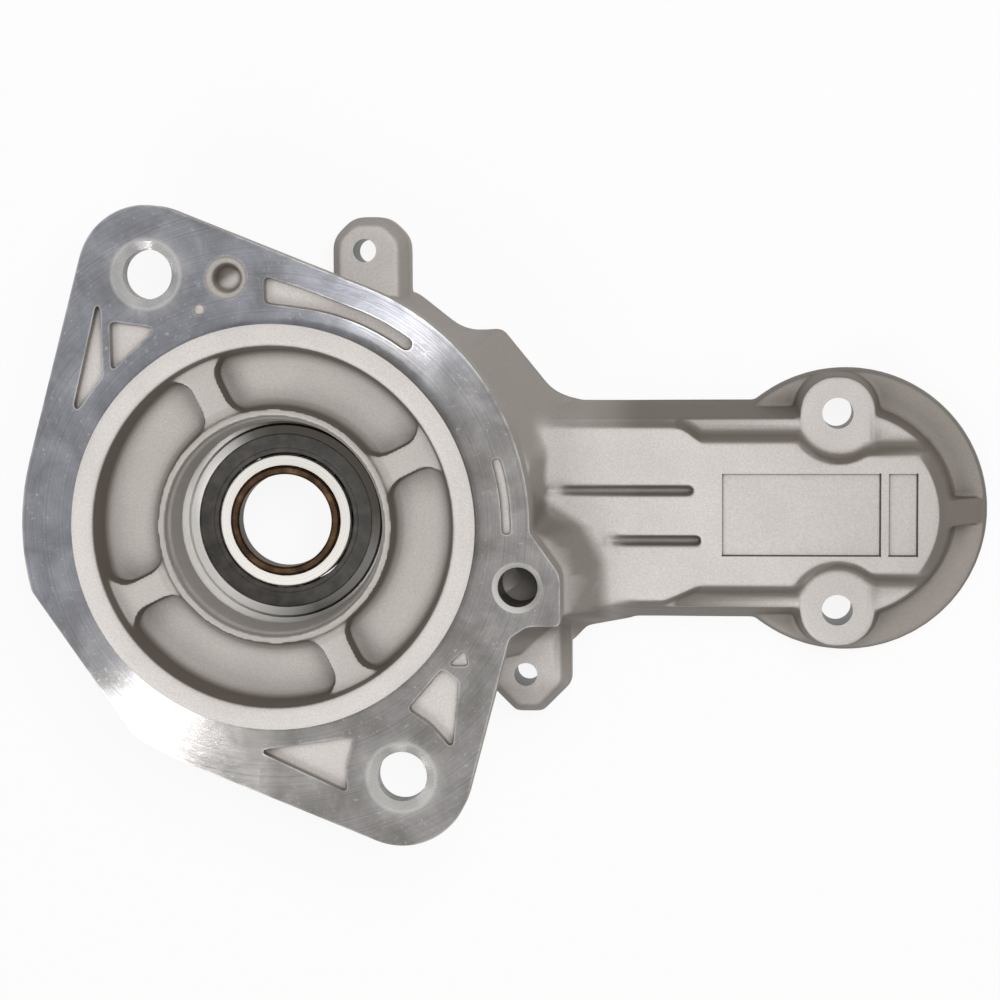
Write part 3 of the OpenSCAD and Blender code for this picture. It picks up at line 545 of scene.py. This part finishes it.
def drilled_hole():
    """Drilled aluminium: a dull wall with marks round it, painted shade in the depth, and a painted highlight on its
    upward lead and on its corner, where burrs are also rubbed bright.
    """
    material, add = surface("drilled_aluminium")
    at = add("TexCoord").outputs["Object"]
    marks = add("TexNoise", {"Vector": at, "Scale": 900, "Detail": 3})
    tone = add("ValToRGB", [marks], [(0.35, "#77746f"), (0.65, "#a09e9a")])
    z = add("SeparateXYZ", [at]).outputs["Z"]
    up = add("SeparateXYZ", [add("NewGeometry").outputs["Normal"]]).outputs["Z"]
    # Painted highlight on the upward lead near the top and, with rubbed burrs, on the corner; painted shade deeper
    # in the hole
    lead = share_of(add, (up, 0.2, 0.6), (z, -9 * MM, -2 * MM))
    base = tinted(add, tone, share_of(add, (z, -11 * MM, -2 * MM, 0.1, 1.0)))
    base = coated(add, base, (most_of(add, corner_wear_and_highlight(add, 0.4), lead), "#dbd9d6"))
    shader = add("BsdfPrincipled", {"Base Color": base, "Metallic": 1.0, "Roughness": 0.4})
    add("OutputMaterial", {"Surface": shader})
    return material


def round_metal(name, dark, light, roughness, side_lit=False):
    """Metal ground or turned round its axis: even grey with faint rings about 0.25 mm apart.
    A side-lit one has a painted highlight on its left side and painted shade at its upper right."""
    material, add = surface(name)
    _, radius, out = about_axis(add)
    rings = add("TexNoise", {"W": radius, "Scale": 4000, "Detail": 2}, noise_dimensions="1D")
    base = add("ValToRGB", [rings], [(0.3, dark), (0.7, light)])
    if side_lit:
        # Painted highlight on the left side and painted shade at the upper right
        left = add("VectorMath", [out, (-0.94, -0.34, 0)], operation="DOT_PRODUCT")
        upper_right = add("VectorMath", [out, (0.62, 0.78, 0)], operation="DOT_PRODUCT")
        left_highlight, upper_right_shade = share_of(add, (left, 0.0, 0.85)), share_of(add, (upper_right, 0.3, 0.7))
        base = coated(add, base, (left_highlight, "#f1efec"), (upper_right_shade, "#45413c"))
    shader = add("BsdfPrincipled", {"Base Color": base, "Metallic": 1.0, "Roughness": roughness})
    add("OutputMaterial", {"Surface": shader})
    return material


def mottled(name, scale, detail_share, stops, **finish):
    """A moulded or sintered material, mottled by a noise of a given scale and share of detail, with its finish."""
    material, add = surface(name)
    at = add("TexCoord").outputs["Object"]
    mottle = add("TexNoise", {"Vector": at, "Scale": scale, "Detail": 4, "Roughness": detail_share})
    tone = add("ValToRGB", [mottle], stops)
    shader = add("BsdfPrincipled", {"Base Color": tone, **finish})
    add("OutputMaterial", {"Surface": shader})
    return material


def background_rays(add):
    """1 for rays from the camera, from a gloss or through glass, which see the plain white background."""
    ray = add("LightPath")
    return most_of(add, *(ray.outputs[f"Is {kind} Ray"] for kind in ("Camera", "Glossy", "Transmission")))


def table_white():
    """Matt white card, which the camera and reflections see as an even white that still takes a soft shadow.
    From below it is clear, so that the back of the part can be looked at."""
    material, add = surface("matt_white_card")
    tooth = add("TexNoise", {"Vector": add("TexCoord").outputs["Object"], "Scale": 500, "Detail": 2})
    paper = add("BsdfDiffuse", [add("ValToRGB", [tooth], [(0.3, grey(0.88)), (0.7, grey(0.92))])])
    glow = add("Emission", {"Color": grey(1.0), "Strength": 1.0})
    even = share_of(add, background_rays(add), 0.9)
    card = add("MixShader", [even, paper, glow])
    sheet = add("MixShader", [add("NewGeometry").outputs["Backfacing"], card, add("BsdfTransparent")])
    add("OutputMaterial", {"Surface": sheet})
    return material


# Camera, lamps and floor

def camera():
    """Camera above the arm, as the photograph was taken: it looks down and slightly towards the pinion axis."""
    data = bpy.data.cameras.new("camera")
    data.sensor_width, data.lens = SENSOR, LENS
    data.clip_start, data.clip_end = 0.05, 20
    obj = bpy.data.objects.new("camera", data)
    bpy.context.scene.collection.objects.link(obj)
    eye = Vector(EYE)
    back = (eye - Vector(AIM)).normalized()
    right = Vector((0, 1, 0)).cross(back).normalized()
    turn = Matrix((right, back.cross(right), back)).transposed().to_4x4()
    obj.matrix_world = Matrix.Translation(eye) @ turn @ Matrix.Rotation(ROLL, 4, "Z")
    bpy.context.scene.camera = obj


def lamp(name, at, width, length, power, soft=True, gloss=True):
    """Lamp at a place, aimed at the part, its length towards the part and its width across.
    Without soft it shows only as a reflection, as a white card does, and without gloss it shows in none."""
    data = bpy.data.lights.new(name, "AREA")
    data.shape, data.size, data.size_y, data.energy = "RECTANGLE", width, length, power
    obj = bpy.data.objects.new(name, data)
    bpy.context.scene.collection.objects.link(obj)
    turn = (Vector(at) - Vector((0.02, 0, -0.01))).to_track_quat("Z", "Y").to_matrix().to_4x4()
    obj.matrix_world = Matrix.Translation(at) @ turn
    obj.visible_diffuse, obj.visible_glossy = soft, gloss


def studio():
    """White card floor just under the back rim, pale world and plain soft lamps."""
    reach, z = 4, (BACK_Z - 0.05) * MM
    corners = np.array([[-reach, -reach, z], [reach, -reach, z], [reach, reach, z], [-reach, reach, z]])
    floor = piece("floor", corners, [(0, 1, 2, 3)], table_white())
    world = bpy.data.worlds.new("studio")
    bpy.context.scene.world = world
    world.use_nodes = True
    world.node_tree.nodes.clear()
    add = partial(add_node, world.node_tree)
    room = add("Background", {"Color": linear("#f2f0ed"), "Strength": 0.36})
    white = add("Background", {"Color": grey(1.0), "Strength": 1.0})
    add("OutputWorld", {"Surface": add("MixShader", [background_rays(add), room, white])})
    lamp("lamp_lower_left", (-0.31, -0.37, 0.66), 0.35, 0.35, 1.5, gloss=False)
    lamp("lamp_upper_right", (0.22, 0.22, 0.74), 0.4, 0.4, 3.55, gloss=False)
    lamp("card_lower_left", (-0.37, -0.407, 0.62), 0.12, 0.6, 4.0, soft=False)


camera()
studio()

cover = blank_casting()
mould(cover)
machine(cover)
# The bore is side-lit: painted highlight on its left and painted shade at its upper right
turned_bore = round_metal("turned_aluminium_bore", "#93908c", "#a5a29e", 0.5, side_lit=True)
paint_casting(cover, shot_blasted_casting(), turned_face(), drilled_hole(), turned_bore)
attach(cover, "cover")
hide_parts("housing")

# The outer ring has the same painted highlight and painted shade
side_lit_steel = round_metal("side_lit_ground_bearing_steel", "#605e5b", "#706e6b", 0.5, side_lit=True)
ring_steel = round_metal("ground_bearing_steel", "#bcb9b4", "#d2cfca", 0.3)
ball_steel = round_metal("polished_bearing_steel", "#c8cacd", "#dcdddf", 0.1)
strip = round_metal("pressed_steel_strip", "#8f8b83", "#a9a59c", 0.4)
# Moulded nitrile rubber: near black, satin, with a faint dusty bloom 2.5 mm across
rubber = mottled("moulded_nitrile_rubber", 400, 0.5, [(0.35, "#2f2d2a"), (0.7, "#4a4641")], Roughness=0.6, IOR=1.52)
# Oil-soaked sintered bronze: dull brown with darker oil stains and bright rubbed spots, 4 mm across
bronze = mottled("sintered_bronze", 260, 0.6, [(0.35, "#2f2115"), (0.55, "#483421"), (0.75, "#6f5538")],
                 Roughness=0.5, Metallic=0.8)
finishes = {"bearing_outer_ring": side_lit_steel, "bearing_inner_ring": ring_steel, "pinion_bush": bronze,
            "front_seal": rubber, "rear_seal": rubber, "cage_front": strip, "cage_rear": strip,
            "cage_rivets": ring_steel}
for name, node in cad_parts.items():
    if name != "housing":
        node.data.materials.clear()
        node.data.materials.append(finishes.get(name, ball_steel))

bpy.context.scene.view_settings.view_transform = "Standard"
